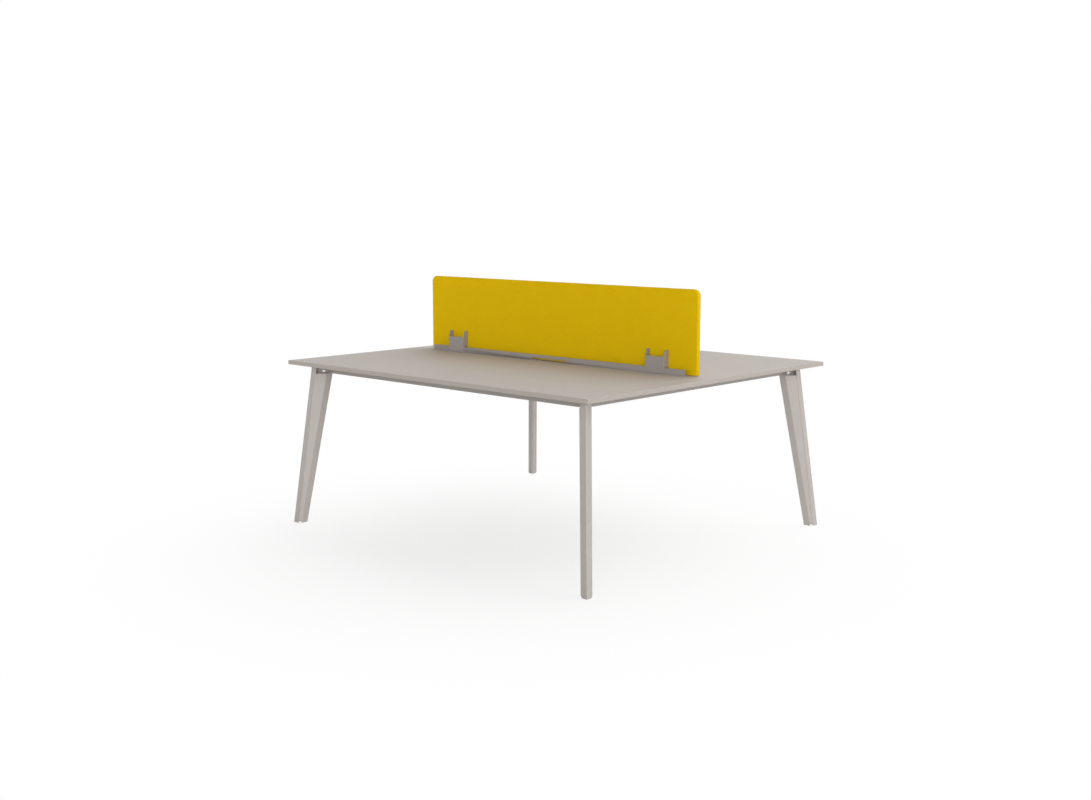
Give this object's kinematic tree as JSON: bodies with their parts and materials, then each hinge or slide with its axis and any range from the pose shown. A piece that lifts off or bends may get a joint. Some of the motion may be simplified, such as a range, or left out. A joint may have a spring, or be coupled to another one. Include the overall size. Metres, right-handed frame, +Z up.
{
  "type": "benching desk for two",
  "caption": "Back-to-back benching desk with splayed folded-steel legs, grey tops, levelling feet and a yellow fabric screen held in clips on a low cable rail.",
  "frame": {"origin": "on the floor under the middle of the desk", "axes": "+X along the users' edges, +Y from the front user to the rear user, +Z up"},
  "size_m": [1.8, 1.6, 1.104],
  "materials": {
    "worktop_laminate": "warm grey laminate on board, fine matt grain",
    "edge_band": "warm grey plastic edge band, satin",
    "leg_paint": "warm grey powder coat, fine texture",
    "frame_paint": "warm grey powder coat, fine texture",
    "screen_rail_paint": "mid grey powder coat, fine texture",
    "bright_steel": "bright zinc plate",
    "foot_plastic": "pale moulded plastic",
    "screen_fabric": "yellow woven upholstery fabric",
    "screen_board": "raw fibreboard"
  },
  "bodies": {
    "desk": {"cable_tray": "frame_paint", "front_centre_rail": "frame_paint", "front_edge_band": "edge_band", "front_left_clip": "screen_rail_paint", "front_left_foot_plate": "frame_paint", "front_left_head_plate": "frame_paint", "front_left_leg": "leg_paint", "front_left_leg_bolt": "bright_steel", "front_left_leg_nut": "bright_steel", "front_rail": "frame_paint", "front_right_clip": "screen_rail_paint", "front_right_foot_plate": "frame_paint", "front_right_head_plate": "frame_paint", "front_right_leg": "leg_paint", "front_right_leg_bolt": "bright_steel", "front_right_leg_nut": "bright_steel", "front_screen_rail": "screen_rail_paint", "front_screen_rail_screw_1": "bright_steel", "front_screen_rail_screw_2": "bright_steel", "front_tray_screw_1": "bright_steel", "front_tray_screw_2": "bright_steel", "front_worktop": "worktop_laminate", "front_worktop_screw_1": "bright_steel", "front_worktop_screw_2": "bright_steel", "left_rail": "frame_paint", "rear_centre_rail": "frame_paint", "rear_edge_band": "edge_band", "rear_left_clip": "screen_rail_paint", "rear_left_foot_plate": "frame_paint", "rear_left_head_plate": "frame_paint", "rear_left_leg": "leg_paint", "rear_left_leg_bolt": "bright_steel", "rear_left_leg_nut": "bright_steel", "rear_rail": "frame_paint", "rear_right_clip": "screen_rail_paint", "rear_right_foot_plate": "frame_paint", "rear_right_head_plate": "frame_paint", "rear_right_leg": "leg_paint", "rear_right_leg_bolt": "bright_steel", "rear_right_leg_nut": "bright_steel", "rear_screen_rail": "screen_rail_paint", "rear_screen_rail_screw_1": "bright_steel", "rear_screen_rail_screw_2": "bright_steel", "rear_tray_screw_1": "bright_steel", "rear_tray_screw_2": "bright_steel", "rear_worktop": "worktop_laminate", "rear_worktop_screw_1": "bright_steel", "rear_worktop_screw_2": "bright_steel", "right_rail": "frame_paint", "screen_bolt_1": "bright_steel", "screen_bolt_2": "bright_steel", "screen_bolt_3": "bright_steel", "screen_bolt_4": "bright_steel", "screen_core": "screen_board", "screen_cover": "screen_fabric"},
    "front_left_foot": {"front_left_levelling_foot": "foot_plastic"},
    "front_right_foot": {"front_right_levelling_foot": "foot_plastic"},
    "rear_right_foot": {"rear_right_levelling_foot": "foot_plastic"},
    "rear_left_foot": {"rear_left_levelling_foot": "foot_plastic"}
  },
  "joints": [
    {"name": "front_left_foot_level", "type": "slide", "parent": "desk", "child": "front_left_foot", "axis": [0, 0, -1], "range_m": [0, 0.012]},
    {"name": "front_right_foot_level", "type": "slide", "parent": "desk", "child": "front_right_foot", "axis": [0, 0, -1], "range_m": [0, 0.012]},
    {"name": "rear_right_foot_level", "type": "slide", "parent": "desk", "child": "rear_right_foot", "axis": [0, 0, -1], "range_m": [0, 0.012]},
    {"name": "rear_left_foot_level", "type": "slide", "parent": "desk", "child": "rear_left_foot", "axis": [0, 0, -1], "range_m": [0, 0.012]}
  ]
}
